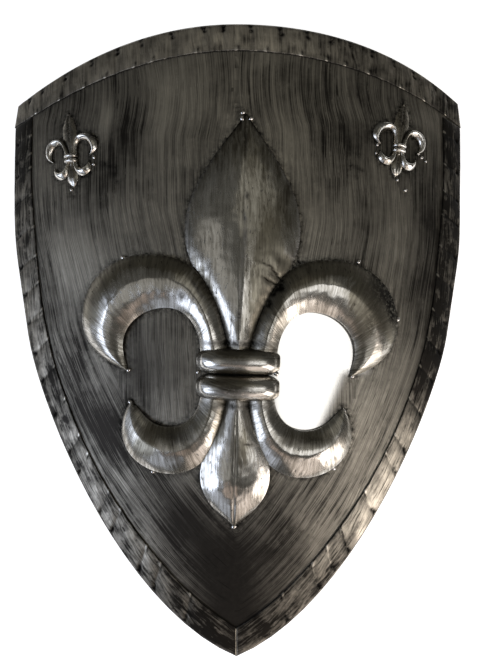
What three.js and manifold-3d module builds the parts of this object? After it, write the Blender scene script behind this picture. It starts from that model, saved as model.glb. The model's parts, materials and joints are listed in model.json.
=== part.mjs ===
// Heater shield: a rolled sheet-steel face, three folded rim strips and three stamped fleur-de-lis shells.
// Millimetres, +Z up. The shield lies face up on its two side rims, +Y towards its top edge.
// Every piece is laid out flat as (across, up from the tip, height above the sheet) and rolled afterwards.
import * as THREE from 'three';
import { mergeVertices } from 'three/addons/utils/BufferGeometryUtils.js';
import Module from 'manifold-3d';

const sheet = { rollRadius: 620, thickness: 1.2, facetWidth: 24, gap: 0.3, thinned: 0.15, thinnedRun: 18 };

// The two sides are cut by hand, so they differ by a few millimetres.
const edge = {
  crown: 711,                       // top of the arc above the tip
  leftCorner: [281.5, 647], rightCorner: [283, 650],
  leftWidest: 290.5, rightWidest: 288.5, widestHeight: 530,
  tipHeading: 22,                   // angle of the edge where it leaves the tip, degrees from level
  stripEnd: [288.3, 620],           // where the side strips stop against the top strip
  restLow: [266, 360], restHigh: [283, 445],   // straight run on each side that the shield lies on
};

const rim = { metal: 1.0, lap: 30, mitreHeight: 32, backLap: 12, chamfer: 0.8, topLap: 30 };

// One fleur-de-lis, drawn about its collar, x across and y up its axis. Heights are those of the crests.
const fleur = {
  metal: 1.2,
  leafTip: 291, leafWide: [65, 160], leafWaist: [12, 25], leafCrest: 14,
  curlRoot: [12, 25], curlInnerRoot: [43, 20], curlTop: 131, curlTopX: 104, curlSide: [186, 58], curlTip: [129, -2],
  eyeTop: [82, 71], eyeSide: [133.5, 26], curlCrest: 17, curlRootCrest: 11,
  footRoot: [12, -27], footInnerRoot: [41, -22], footBottom: [76, -115.5], footSide: [132.5, -66], footTip: [122, -36],
  footEye: [78, -63], footCrest: 15,
  tailTip: -171.5, tailWide: [38.6, -115], tailWaist: [11, -25], tailCrest: 13,
  collarHalf: 46.5, collarTop: 29, collarGroove: -1.5, collarBottom: -32, collarCrest: 20,
  stations: 14, across: 6,
};
const smallFleur = { ...fleur, metal: 5, leafCrest: 26, curlCrest: 30, curlRootCrest: 18, footCrest: 28,
  tailCrest: 26, collarCrest: 36, curlTop: 146, stations: 8, across: 4 };

const placing = {
  large: { across: 2, up: 318.5, lean: -1.8, scale: 1 },
  smallLeft: { across: -199.3, up: 569.5, lean: 5, scale: 0.195 },
  smallRight: { across: 194, up: 581, lean: -8, scale: 0.195 },
};

const steel = { face: '#5f5a55', rims: '#56524e', stamped: '#7b746d' };

const radians = (degrees) => degrees * Math.PI / 180;
const mix = (a, b, t) => a + (b - a) * t;
const mixPoint = (a, b, t) => a.map((value, i) => mix(value, b[i], t));

// A stop on a curve: where it is, which way the curve runs there, and how far each handle reaches
// as a share of the distance to the next stop.
const stop = (at, heading, before = 0.36, after = before) => ({ at, heading, before, after });

// Smooth curve through the stops, with the given number of segments on each leg.
function curve(stops, segments) {
  const points = [stops[0].at];
  for (let leg = 0; leg + 1 < stops.length; leg++) {
    const [from, to] = [stops[leg], stops[leg + 1]];
    const span = Math.hypot(to.at[0] - from.at[0], to.at[1] - from.at[1]);
    const handle = (end, reach) => [0, 1].map((i) =>
      end.at[i] + span * reach * (i ? Math.sin(radians(end.heading)) : Math.cos(radians(end.heading))));
    const [a, b, c, d] = [from.at, handle(from, from.after), handle(to, -to.before), to.at];
    const count = Array.isArray(segments) ? segments[leg] : segments;
    for (let k = 1; k <= count; k++) {
      const t = k / count;
      const s = 1 - t;
      points.push([0, 1].map((i) => s * s * s * a[i] + 3 * s * s * t * b[i] + 3 * s * t * t * c[i] + t * t * t * d[i]));
    }
  }
  return points;
}

// The same curve as a given number of equal steps.
function evenSteps(points, steps) {
  const run = [0];
  for (let i = 1; i < points.length; i++) {
    run.push(run[i - 1] + Math.hypot(points[i][0] - points[i - 1][0], points[i][1] - points[i - 1][1]));
  }
  const out = [];
  for (let k = 0; k <= steps; k++) {
    const target = run[run.length - 1] * k / steps;
    let i = 1;
    while (i < run.length - 1 && run[i] < target) i++;
    out.push(mixPoint(points[i - 1], points[i], (target - run[i - 1]) / (run[i] - run[i - 1])));
  }
  return out;
}

// Closed solid through equal rings of points, capped at both ends.
function loft(rings) {
  const size = rings[0].length;
  const positions = rings.flat(2);
  const index = [];
  for (let r = 0; r + 1 < rings.length; r++) {
    for (let k = 0; k < size; k++) {
      const [a, b] = [r * size + k, r * size + (k + 1) % size];
      index.push(a, b, b + size, a, b + size, a + size);
    }
  }
  for (const [start, flip] of [[0, true], [(rings.length - 1) * size, false]]) {
    const ring = rings[start / size];
    const faces = capFaces(ring);
    for (const [a, b, c] of faces) index.push(...(flip ? [start + c, start + b, start + a] : [start + a, start + b, start + c]));
  }
  const geometry = new THREE.BufferGeometry();
  geometry.setAttribute('position', new THREE.Float32BufferAttribute(positions, 3));
  geometry.setIndex(index);
  return outward(geometry);
}

// Triangles that fill one planar ring.
function capFaces(ring) {
  const normal = new THREE.Vector3();
  const corner = (i) => new THREE.Vector3(...ring[i % ring.length]);
  for (let i = 0; i < ring.length; i++) normal.add(corner(i).cross(corner(i + 1)));
  normal.normalize();
  const right = corner(1).sub(corner(0)).normalize();
  const up = normal.clone().cross(right);
  const flat = ring.map((_, i) => new THREE.Vector2(corner(i).dot(right), corner(i).dot(up)));
  return THREE.ShapeUtils.triangulateShape(flat, []);
}

// Turns every face round if the solid came out inside out.
function outward(geometry) {
  const at = geometry.attributes.position;
  const index = geometry.index.array;
  let volume = 0;
  const corner = (i) => new THREE.Vector3().fromBufferAttribute(at, index[i]);
  for (let i = 0; i < index.length; i += 3) volume += corner(i).dot(corner(i + 1).cross(corner(i + 2)));
  if (volume < 0) for (let i = 0; i < index.length; i += 3) [index[i], index[i + 2]] = [index[i + 2], index[i]];
  return geometry;
}

// ---- outline -------------------------------------------------------------------------------------------

const restHeading = Math.atan2(edge.restHigh[1] - edge.restLow[1], edge.restHigh[0] - edge.restLow[0]) * 180 / Math.PI;

function sideEdge(widest, corner) {
  return curve([
    stop([0, 0], edge.tipHeading, 0, 0.32), stop(edge.restLow, restHeading, 0.16, 0.3),
    stop(edge.restHigh, restHeading, 0.3, 0.36), stop([widest, edge.widestHeight], 90, 0.4, 0.3),
    stop(edge.stripEnd, 93), stop(corner, 102),
  ], [14, 4, 3, 3, 1]);
}

const mirrored = (points) => points.map(([x, y]) => [-x, y]);
const rightEdge = sideEdge(edge.rightWidest, edge.rightCorner);
const leftEdge = mirrored(sideEdge(edge.leftWidest, edge.leftCorner));
const topEdge = evenSteps(curve([
  stop([-edge.leftCorner[0], edge.leftCorner[1]], 20.5, 0.34), stop([0, edge.crown], 0, 0.35, 0.38),
  stop(edge.rightCorner, -25.7, 0.32),
], 20), 24);
const outline = [...rightEdge, ...topEdge.slice(1, -1).reverse(), ...leftEdge.slice(1).reverse()];

// The outline moved inward, with each corner kept sharp.
function inset(points, distance) {
  return points.map((point, i) => {
    const before = points[(i + points.length - 1) % points.length];
    const after = points[(i + 1) % points.length];
    const normal = (a, b) => {
      const length = Math.hypot(b[0] - a[0], b[1] - a[1]);
      return [-(b[1] - a[1]) / length, (b[0] - a[0]) / length];
    };
    const [n, m] = [normal(before, point), normal(point, after)];
    const share = distance / (1 + n[0] * m[0] + n[1] * m[1]);
    return [point[0] + (n[0] + m[0]) * share, point[1] + (n[1] + m[1]) * share];
  });
}

// ---- rolling and setting down --------------------------------------------------------------------------

function rolled([across, up, height]) {
  const angle = across / sheet.rollRadius;
  const radius = sheet.rollRadius + height;
  return [radius * Math.sin(angle), up, radius * Math.cos(angle) - sheet.rollRadius];
}

// The shield tips forward until both ends of the straight side runs are level.
const [lowRun, highRun] = [edge.restLow, edge.restHigh].map(([across, up]) => rolled([across, up, -sheet.thickness]));
const settle = Math.atan2(lowRun[2] - highRun[2], highRun[1] - lowRun[1]);

function setDown(geometry) {
  const at = geometry.attributes.position;
  for (let i = 0; i < at.count; i++) {
    at.setXYZ(i, ...rolled([at.getX(i), at.getY(i), at.getZ(i)]));
  }
  return geometry.rotateX(settle);
}

// ---- face plate: flat strips side by side, each running up the shield ---------------------------------

function facePlate() {
  const cut = inset(outline, rim.metal + sheet.gap);
  const widest = Math.max(...cut.map(([x]) => x));
  const narrowest = Math.min(...cut.map(([x]) => x));
  const lines = [];
  for (let x = sheet.facetWidth / 2; x < Math.min(widest, -narrowest); x += sheet.facetWidth) lines.push(x, -x);
  const last = Math.max(...lines);
  for (const [x] of cut) {
    if (Math.abs(x) > last + 2 && x < widest - 0.6 && x > narrowest + 0.6) lines.push(x);
  }
  lines.push(widest - 0.5, narrowest + 0.5);
  lines.sort((a, b) => a - b);
  const spaced = lines.filter((x, i) => i === 0 || x - lines[i - 1] > 0.15);
  const rings = spaced.map((x) => {
    const heights = [];
    cut.forEach((a, i) => {
      const b = cut[(i + 1) % cut.length];
      if ((a[0] - x) * (b[0] - x) <= 0 && a[0] !== b[0]) heights.push(mix(a[1], b[1], (x - a[0]) / (b[0] - a[0])));
    });
    const [low, high] = [Math.min(...heights), Math.max(...heights)];
    const run = Math.min(sheet.thinnedRun, (high - low) / 3);   // hammered a little thinner inside the hems
    const [back, thin] = [-sheet.thickness, sheet.thinned - sheet.thickness];
    return [[x, low, 0], [x, high, 0], [x, high, thin], [x, high - run, back], [x, low + run, back], [x, low, thin]];
  });
  return loft(rings);
}

// ---- rim strips: a sheet folded over the edge, wide lap in front, narrow lap behind --------------------

function hem(outer, inner, backInner) {
  const front = sheet.gap;
  const back = -sheet.thickness - sheet.gap;
  const length = Math.hypot(inner[0] - outer[0], inner[1] - outer[1]);
  const backLap = backInner ?? rim.backLap;
  const at = (inward, height) => [...mixPoint(outer, inner, inward / length), height];
  return [
    at(0, front + rim.metal - rim.chamfer), at(rim.chamfer, front + rim.metal),
    at(length / 2, front + rim.metal), at(length, front + rim.metal),
    at(length, front), at(length / 2, front), at(rim.metal, front),
    at(rim.metal, back), at(backLap, back),
    at(backLap, back - rim.metal), at(rim.chamfer, back - rim.metal), at(0, back - rim.metal + rim.chamfer),
  ];
}

const topInner = evenSteps(curve([
  stop([-edge.stripEnd[0], edge.stripEnd[1]], 16, 0.3), stop([0, edge.crown - rim.topLap], 0, 0.36),
  stop([edge.stripEnd[0], edge.stripEnd[1]], -24, 0.3),
], 20), topEdge.length - 1);

const rimTop = () => loft(topEdge.map((outer, i) => hem(outer, topInner[i])));

// A side strip, worked out for the right and mirrored for the left.
function rimSide(points, flip) {
  const run = flip ? mirrored(points) : points;
  const used = run.slice(0, -1).filter(([x], i) => i === 0 || x > 18);
  const below = sheet.gap + 0.2;
  const rings = used.map((outer, i) => {
    if (i === 0) {
      return hem([sheet.gap / 2, sheet.gap], [sheet.gap / 2, rim.mitreHeight]);
    }
    if (i === used.length - 1) {
      const start = [outer[0], outer[1] - below];
      const slope = Math.tan(radians(flip ? 16 : 22));
      return hem(start, [outer[0] - rim.lap, outer[1] - below + rim.lap * slope]);
    }
    const [a, b] = [used[i - 1], used[i + 1]];
    const length = Math.hypot(b[0] - a[0], b[1] - a[1]);
    return hem(outer, [outer[0] - (b[1] - a[1]) / length * rim.lap, outer[1] + (b[0] - a[0]) / length * rim.lap]);
  });
  const sided = flip ? rings.map((ring) => ring.map(([x, y, z]) => [-x, y, z])) : rings;
  return loft(sided);
}

// ---- fleur-de-lis: tapering limbs between two rails, joined, then hollowed from behind ----------------

const wasm = await Module();
wasm.setup();

function solidFrom(geometry) {
  const plain = geometry.clone();
  plain.deleteAttribute('normal');
  plain.deleteAttribute('uv');
  const merged = mergeVertices(plain, 1e-4);
  const mesh = new wasm.Mesh({
    numProp: 3, vertProperties: Float32Array.from(merged.attributes.position.array),
    triVerts: Uint32Array.from(merged.index.array),
  });
  return new wasm.Manifold(mesh);
}

function geometryFrom(solid) {
  const { vertProperties, triVerts, numProp } = solid.getMesh();
  const geometry = new THREE.BufferGeometry();
  const positions = [];
  for (let i = 0; i < vertProperties.length; i += numProp) positions.push(...vertProperties.slice(i, i + 3));
  geometry.setAttribute('position', new THREE.Float32BufferAttribute(positions, 3));
  geometry.setIndex(Array.from(triVerts));
  return geometry;
}

// Height of a stamped limb across its width: a soft crease at the crest, steep at both edges.
function stamped(s, crest) {
  const x = s < crest ? (crest - s) / crest : (s - crest) / (1 - crest);
  return 1 - 0.3 * x - 0.7 * x * x * x;
}

// A limb between two rails. rise(t) is the crest height along it; wall cuts the hollow inside it.
function limb(railA, railB, crest, rise, across, wall) {
  const rings = [];
  railA.forEach((a, i) => {
    const t = i / (railA.length - 1);
    const b = railB[i];
    const width = Math.hypot(b[0] - a[0], b[1] - a[1]);
    const height = rise(t) - wall;
    if (wall && (width < wall * 3.4 || height < wall)) return;
    const margin = wall / width;
    const base = wall ? -2 : 0;
    const ring = [];
    for (let k = 0; k <= across; k++) {
      const s = k / across;
      const spread = 0.5 - 0.5 * Math.cos(Math.PI * s);
      const where = mix(s, spread, 0.6);
      ring.push([...mixPoint(a, b, mix(margin, 1 - margin, where)), Math.max(0, height) * stamped(where, crest)]);
    }
    ring[0][2] = ring[across][2] = wall ? 0 : 0.01;
    ring.push([...mixPoint(a, b, 1 - margin), base - 0.01], [...mixPoint(a, b, margin), base - 0.01]);
    rings.push(ring);
  });
  return solidFrom(loft(rings));
}

const swell = (start, middle, end, peak = 0.5) => (t) =>
  t < peak ? mix(start, middle, Math.sin(Math.PI / 2 * t / peak)) : mix(end, middle, Math.cos(Math.PI / 2 * (t - peak) / (1 - peak)));

function limbs(f, wall) {
  const steps = f.stations;
  const half = (stops) => evenSteps(curve(stops, 12), steps);
  const leafSide = half([stop([1.2, f.leafTip], -57, 0, 0.3), stop(f.leafWide, -90, 0.36), stop(f.leafWaist, -99, 0.5)]);
  const tailSide = half([stop([1.2, f.tailTip], 38, 0, 0.36), stop(f.tailWide, 90, 0.36), stop(f.tailWaist, 95, 0.4)]);
  const curlOut = half([stop(f.curlRoot, 76, 0, 0.45), stop([f.curlTopX, f.curlTop], 0, 0.45, 0.42),
    stop(f.curlSide, -90, 0.4), stop(f.curlTip, 198, 0.36)]);
  const curlIn = half([stop(f.curlInnerRoot, 90, 0, 0.42), stop(f.eyeTop, 0, 0.38), stop(f.eyeSide, -90, 0.39),
    stop([f.curlTip[0] - 1.4, f.curlTip[1] + 1], -105, 0.36)]);
  const footOut = half([stop(f.footRoot, -86, 0, 0.5), stop(f.footBottom, 0, 0.38), stop(f.footSide, 90, 0.4),
    stop(f.footTip, 125, 0.36)]);
  const footIn = half([stop(f.footInnerRoot, -90, 0, 0.4), stop(f.footEye, 0, 0.42),
    stop([f.footTip[0] - 1.4, f.footTip[1] - 1.6], 40, 0.36)]);
  const pieces = [
    limb(mirrored(leafSide), leafSide, 0.5, swell(2, f.leafCrest, f.leafCrest * 0.7, 0.55), f.across, wall),
    limb(mirrored(tailSide), tailSide, 0.5, swell(2, f.tailCrest, f.tailCrest * 0.8, 0.45), f.across, wall),
  ];
  for (const side of [(points) => points, mirrored]) {
    pieces.push(
      limb(side(curlOut), side(curlIn), 0.52, swell(f.curlRootCrest, f.curlCrest, 3, 0.55), f.across, wall),
      limb(side(footOut), side(footIn), 0.55, swell(f.curlRootCrest, f.footCrest, 3, 0.5), f.across, wall),
    );
  }
  for (const [low, high] of [[f.collarBottom, f.collarGroove + 1], [f.collarGroove - 1, f.collarTop]]) {
    const lower = [];
    const upper = [];
    for (let k = 0; k <= steps; k++) {
      const x = -Math.cos(Math.PI * k / steps);
      const pinch = 1 - 0.55 * Math.pow(Math.abs(x), 7);
      const middle = (low + high) / 2;
      lower.push([x * f.collarHalf, middle - (high - low) / 2 * pinch]);
      upper.push([x * f.collarHalf, middle + (high - low) / 2 * pinch]);
    }
    const rise = (t) => f.collarCrest * Math.sqrt(Math.max(0.04, 1 - Math.pow(Math.abs(Math.cos(Math.PI * t)), 3.4)));
    pieces.push(limb(lower, upper, 0.5, rise, f.across, wall));
  }
  return pieces.reduce((all, piece) => all.add(piece));
}

function fleurShell(shape, place) {
  const shell = limbs(shape, 0).subtract(limbs(shape, shape.metal));
  const geometry = geometryFrom(shell);
  const at = geometry.attributes.position;
  const [cos, sin] = [Math.cos(radians(place.lean)), Math.sin(radians(place.lean))];
  for (let i = 0; i < at.count; i++) {
    const [x, y, z] = [at.getX(i) * place.scale, at.getY(i) * place.scale, at.getZ(i) * place.scale];
    at.setXYZ(i, place.across + x * cos - y * sin, place.up + x * sin + y * cos, z + sheet.gap + 0.02);
  }
  return geometry;
}

// ---- the group: one named mesh for each physical piece, centred over the floor ------------------------

const pieces = {
  face_plate: [facePlate(), steel.face, 0.5],
  rim_top: [rimTop(), steel.rims, 0.5],
  rim_left: [rimSide(leftEdge, true), steel.rims, 0.5],
  rim_right: [rimSide(rightEdge, false), steel.rims, 0.5],
  fleur_large: [fleurShell(fleur, placing.large), steel.stamped, 0.35],
  fleur_small_left: [fleurShell(smallFleur, placing.smallLeft), steel.stamped, 0.3],
  fleur_small_right: [fleurShell(smallFleur, placing.smallRight), steel.stamped, 0.3],
};

const shield = new THREE.Group();
shield.name = 'heater_shield';
const whole = new THREE.Box3();
for (const [name, [geometry, color, roughness]] of Object.entries(pieces)) {
  const material = new THREE.MeshStandardMaterial({ color, roughness, metalness: 1 });
  material.name = name;
  const mesh = new THREE.Mesh(setDown(geometry), material);
  mesh.name = name;
  geometry.computeBoundingBox();
  whole.union(geometry.boundingBox);
  shield.add(mesh);
}
const middle = whole.getCenter(new THREE.Vector3());
for (const mesh of shield.children) mesh.geometry.translate(-middle.x, -middle.y, -whole.min.z);

export default shield;
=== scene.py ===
import json
import math
import random

import bmesh
import bpy
from mathutils import Matrix, Vector, noise
from mathutils.geometry import interpolate_bezier
from mathutils.kdtree import KDTree


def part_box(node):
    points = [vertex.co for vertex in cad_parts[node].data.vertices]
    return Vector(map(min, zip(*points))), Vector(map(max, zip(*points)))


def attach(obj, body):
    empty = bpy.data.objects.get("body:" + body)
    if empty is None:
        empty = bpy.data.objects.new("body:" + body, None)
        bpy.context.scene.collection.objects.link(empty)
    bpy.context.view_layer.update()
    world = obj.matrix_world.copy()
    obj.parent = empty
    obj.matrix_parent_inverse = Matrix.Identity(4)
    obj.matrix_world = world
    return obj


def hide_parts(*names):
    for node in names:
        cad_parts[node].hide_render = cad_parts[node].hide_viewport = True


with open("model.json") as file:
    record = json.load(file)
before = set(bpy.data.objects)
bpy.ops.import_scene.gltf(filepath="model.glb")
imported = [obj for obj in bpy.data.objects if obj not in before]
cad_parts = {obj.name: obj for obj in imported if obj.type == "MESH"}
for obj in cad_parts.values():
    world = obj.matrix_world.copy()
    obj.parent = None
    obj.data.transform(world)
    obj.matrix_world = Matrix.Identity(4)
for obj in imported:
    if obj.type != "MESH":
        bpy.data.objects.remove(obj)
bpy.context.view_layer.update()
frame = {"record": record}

mm = 0.001

# A flat sheet in millimetres (across, up from the tip, height above the face), rolled at the end.
layout = {
    "rollRadius": 620.0,
    "facetBack": -1.316,     # height of the middle back facet, where the mount is
    "mitre": 0.3,            # the rims' first corner above the tip
    "hemFront": 1.3,         # height of the rim strips' front
}
facing = -Vector(frame["record"]["mounts"][0]["axis"])    # straight out of the middle of the face
upward = Vector((0, facing.z, -facing.y))                 # along the face, from the tip to the top edge
mount = Vector(frame["record"]["mounts"][0]["pos_m"])


def findTip():
    leftHigh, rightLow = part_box("rim_left")[1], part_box("rim_right")[0]
    tip = Vector(((leftHigh.x + rightLow.x) / 2, 0, 0))
    tip.y = rightLow.y - mm * (layout["mitre"] * upward.y + layout["hemFront"] * facing.y)
    tip.z = (mount.dot(facing) - mm * layout["facetBack"] - tip.y * facing.y) / facing.z
    return tip


tipPoint = findTip()


def roll(flat):
    radius = layout["rollRadius"] + flat[2]
    angle = flat[0] / layout["rollRadius"]
    out = radius * math.cos(angle) - layout["rollRadius"]
    return tipPoint + mm * (Vector((radius * math.sin(angle), 0, 0)) + flat[1] * upward + out * facing)


# Paths

# A stop on a path has its heading in degrees and how far its handles reach, as shares of the legs beside it.
def stop(x, y, heading, before=0.36, after=None):
    return (x, y, heading, before, before if after is None else after)


def handle(at, reach):
    heading = math.radians(at[2])
    return Vector((math.cos(heading), math.sin(heading), 0)) * reach


def smoothPath(stops, perLeg=20):
    points = []
    for a, b in zip(stops, stops[1:]):
        start, end = Vector((a[0], a[1], 0)), Vector((b[0], b[1], 0))
        span = (end - start).length
        leave, arrive = start + handle(a, span * a[4]), end - handle(b, span * b[3])
        leg = interpolate_bezier(start, leave, arrive, end, perLeg + 1)
        points += leg if not points else leg[1:]
    return points


def mirrored(points):
    return [Vector((-p.x, p.y, p.z)) for p in points]


class Rail:    # a path that can be read at any share of its length
    def __init__(self, points):
        self.points = points
        self.run = [0.0]
        for a, b in zip(points, points[1:]):
            self.run.append(self.run[-1] + (b - a).length)
        self.length = self.run[-1]

    def at(self, share):
        target = min(max(share, 0.0), 1.0) * self.length
        low, high = 0, len(self.run) - 1
        while high - low > 1:
            middle = (low + high) // 2
            low, high = (middle, high) if self.run[middle] <= target else (low, middle)
        step = self.run[high] - self.run[low]
        return self.points[low].lerp(self.points[high], (target - self.run[low]) / step if step else 0)


def ease(low, high, value):
    x = min(max((value - low) / (high - low), 0.0), 1.0)
    return x * x * (3 - 2 * x)


def mixed(a, b, share):
    return a + (b - a) * share


def finderOf(points):    # gives the distance from any flat point to the nearest of these
    tree = KDTree(len(points))
    for i, p in enumerate(points):
        tree.insert(Vector((p[0], p[1], 0)), i)
    tree.balance()
    return lambda p: tree.find(Vector((p[0], p[1], 0)))[2]


# Soft ovals: across, up, half length, half width, lean to the left in degrees, amount
def smudge(p, marks):
    total = 0.0
    for x, y, long, wide, lean, amount in marks:
        dx, dy = p[0] - x, p[1] - y
        if abs(dx) + abs(dy) < 3 * (long + wide):
            c, s = math.cos(math.radians(lean)), math.sin(math.radians(lean))
            total += amount * math.exp(-((dy * c - dx * s) / long) ** 2 - ((dx * c + dy * s) / wide) ** 2)
    return total


# Materials

def linear(hexColour):
    values = [int(hexColour[i:i + 2], 16) / 255 for i in (1, 3, 5)]
    return [v / 12.92 if v <= 0.04045 else ((v + 0.055) / 1.055) ** 2.4 for v in values] + [1.0]


# Settings are the node's own or its inputs'; links take sockets, or nodes for their first working output.
# On a Mix, input 0 is the share, 2 and 3 are the numbers and 6 and 7 the colours; on a Map Range, 1 and 2 are
# the range read and 3 and 4 the range given.
def addNode(tree, kind, settings, links=None):
    node = tree.nodes.new(kind)
    for key, value in settings.items():
        if isinstance(key, str) and hasattr(node, key):
            setattr(node, key, value)
        else:
            node.inputs[key].default_value = value
    for key, source in (links or {}).items():
        if isinstance(source, bpy.types.Node):
            source = [out for out in source.outputs if out.enabled][0]
        tree.links.new(source, node.inputs[key])
    return node


def newMaterial(name):
    material = bpy.data.materials.new(name)
    material.use_nodes = True
    material.node_tree.nodes.clear()
    return material, material.node_tree


grainUnit = 100    # millimetres in one unit of the map "grain": x across the brush strokes, y along them


# Painted on the vertices: wear lightens or darkens, polish shows bare metal, the dark layer is soot with
# painted shade in hollows, gaps and along edges, score sets how many dark scratches there are, heat is a
# straw-brown tint, dull brings back the dark scale in patches, inside the left-hand curls where the black was
# hardly brushed, and the mirror patch is worn smooth and painted near white, a painted highlight with a lamp
# mirrored in it.
def brushedSteel(name, look):
    material, tree = newMaterial(name)
    grain = addNode(tree, "ShaderNodeUVMap", {"uv_map": "grain"})
    place = addNode(tree, "ShaderNodeTexCoord", {}).outputs["Object"]
    paint = {}
    for layer in ("wear", "polish", "sootAndShadeShare", "score", "heat", "dull", "mirrorGlare"):
        paint[layer] = addNode(tree, "ShaderNodeAttribute", {"attribute_name": layer}).outputs["Fac"]

    # Strokes: width and length in mm, turn in degrees, detail, and the two noise levels that become 0 and 1
    strokes = {}
    for layer, (wide, long, turn, detail, low, high) in look["strokes"].items():
        laid = addNode(tree, "ShaderNodeMapping", {
            "vector_type": "TEXTURE", "Rotation": (0, 0, math.radians(turn)),
            "Scale": (wide / grainUnit, long / grainUnit, 1)}, {"Vector": grain})
        streak = addNode(tree, "ShaderNodeTexNoise", {
            "Scale": 1, "Detail": detail, "Roughness": 0.62}, {"Vector": laid})
        strokes[layer] = addNode(tree, "ShaderNodeMapRange", {1: low, 2: high}, {0: streak})

    # Spots: size in mm, detail, and the two noise levels
    spots = {}
    for layer, (size, detail, low, high) in look["spots"].items():
        cloud = addNode(tree, "ShaderNodeTexNoise", {
            "Scale": 1 / (size * mm), "Detail": detail, "Roughness": 0.66}, {"Vector": place})
        spots[layer] = addNode(tree, "ShaderNodeMapRange", {1: low, 2: high}, {0: cloud})

    # Tone: 0 where the black is left, 1 where the brush cut through it
    shares = look["shares"]
    ground = look["level"] - 0.5 * sum(shares.values())
    where = addNode(tree, "ShaderNodeMapRange", {1: 0.45, 2: 0.7}, {0: spots["patch"]})
    fine = addNode(tree, "ShaderNodeMix", {}, {0: where, 2: strokes["fine"], 3: strokes["crossed"]})
    tone = addNode(tree, "ShaderNodeMath", {
        "operation": "MULTIPLY_ADD", 1: shares["patch"], 2: ground}, {0: spots["patch"]})
    for source, share in ((strokes["wide"], shares["wide"]), (fine, shares["fine"]),
                          (paint["wear"], look["wearShare"])):
        tone = addNode(tree, "ShaderNodeMath", {"operation": "MULTIPLY_ADD", 1: share}, {0: source, 2: tone})
    tone.use_clamp = True

    # Bare metal where it is rubbed, broken up by the strokes
    start = 0.5 * look["polishBreak"] + 0.2
    broken = addNode(tree, "ShaderNodeMath", {
        "operation": "MULTIPLY_ADD", 1: look["polishBreak"]}, {0: tone, 2: paint["polish"]})
    rubbed = addNode(tree, "ShaderNodeMapRange", {1: start, 2: start + 0.6}, {0: broken})
    black = addNode(tree, "ShaderNodeMix", {
        "data_type": "RGBA", 6: linear(look["dark"]), 7: linear(look["light"])}, {0: tone})
    bare = addNode(tree, "ShaderNodeMix", {
        "data_type": "RGBA", 6: linear(look["bareDark"]), 7: linear(look["bare"])}, {0: tone})
    colour = addNode(tree, "ShaderNodeMix", {"data_type": "RGBA"}, {0: rubbed, 6: black, 7: bare})
    colour = addNode(tree, "ShaderNodeMix", {
        "data_type": "RGBA", "blend_type": "MULTIPLY", 7: linear(look["straw"]),
    }, {0: paint["heat"], 6: colour})

    # Soot and painted shade in the hollows and gaps, and dark scratches, then each layer of colour over the
    # last
    sootShadeAndScratch = addNode(tree, "ShaderNodeMath", {"operation": "MULTIPLY", "use_clamp": True},
                    {0: paint["sootAndShadeShare"], 1: spots["sootAndShade"]})
    scored = addNode(tree, "ShaderNodeMath", {"operation": "MULTIPLY"},
                     {0: strokes["scratch"], 1: paint["score"]})
    sootShadeAndScratch = addNode(tree, "ShaderNodeMath", {"operation": "MAXIMUM"}, {0: sootShadeAndScratch, 1: scored})
    for share, over in ((paint["dull"], "dark"), (sootShadeAndScratch, "sootAndShade"), (paint["mirrorGlare"], "wornGlare")):
        colour = addNode(tree, "ShaderNodeMix", {"data_type": "RGBA", 7: linear(look[over])},
                         {0: share, 6: colour})

    rough = addNode(tree, "ShaderNodeMapRange", {3: look["roughDark"], 4: look["roughLight"]}, {0: tone})
    for share, value in ((rubbed, look["roughRubbed"]), (sootShadeAndScratch, look["roughSootAndShade"]),
                         (paint["mirrorGlare"], look["roughWorn"])):
        rough = addNode(tree, "ShaderNodeMix", {3: value}, {0: share, 2: rough})
    height = addNode(tree, "ShaderNodeMix", {3: 0.5}, {0: paint["mirrorGlare"], 2: tone})    # level where worn
    bump = addNode(tree, "ShaderNodeBump", {
        "Strength": look["bump"], "Distance": look["strokeDepth"] * mm}, {"Height": height})
    tangent = addNode(tree, "ShaderNodeTangent", {"direction_type": "UV_MAP", "uv_map": "grain"})
    shader = addNode(tree, "ShaderNodeBsdfPrincipled", {
        "Metallic": look["metallic"], "Anisotropic": look["anisotropic"],
    }, {"Base Color": colour, "Roughness": rough, "Normal": bump, "Tangent": tangent})
    addNode(tree, "ShaderNodeOutputMaterial", {}, {"Surface": shader})
    return material


# A wire brush cuts lines of 0.1 to 0.3 mm, too fine to show, so strokes are drawn as bundles of 1 to 3 mm.
anySteel = {
    # the worn colour is near white: with it the mirror patch is a painted highlight
    "wornGlare": "#eeebe6", "straw": "#ffffff", "roughSootAndShade": 0.65, "roughWorn": 0.1, "strokeDepth": 0.4,
}
# The black scale and soot of mild steel: dark and olive, with only a broad, dull shine.
blackSteel = dict(anySteel, **{
    "light": "#cbc4b5", "bareDark": "#a39d90", "bare": "#dcd7cc", "polishBreak": 0.2, "roughDark": 0.5,
    "roughLight": 0.36, "roughRubbed": 0.25, "metallic": 0.9, "anisotropic": 0.4,
})
# Stampings are bare metal under their thin black.
rubbedSteel = dict(anySteel, straw="#d8a37c", metallic=1.0)

# Blackened mild steel, wire-brushed: fine crisp strokes run the length of the sheet.
faceSteel = brushedSteel("blackened wire-brushed steel", dict(blackSteel, **{
    "strokes": {"fine": (1.3, 110, 0, 2, 0.3, 0.7), "crossed": (1.2, 90, 6, 2, 0.3, 0.7),
                "wide": (5, 150, 2, 4, 0.34, 0.66), "scratch": (2.2, 36, 2, 1.5, 0.61, 0.69)},
    "spots": {"patch": (55, 7, 0.34, 0.66), "sootAndShade": (5, 3, 0.35, 0.6)},
    "shares": {"fine": 0.44, "wide": 0.3, "patch": 0.28}, "level": 0.375, "wearShare": 0.4,
    "dark": "#2c2925", "sootAndShade": "#100f0c", "bump": 0.45,
}))
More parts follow.
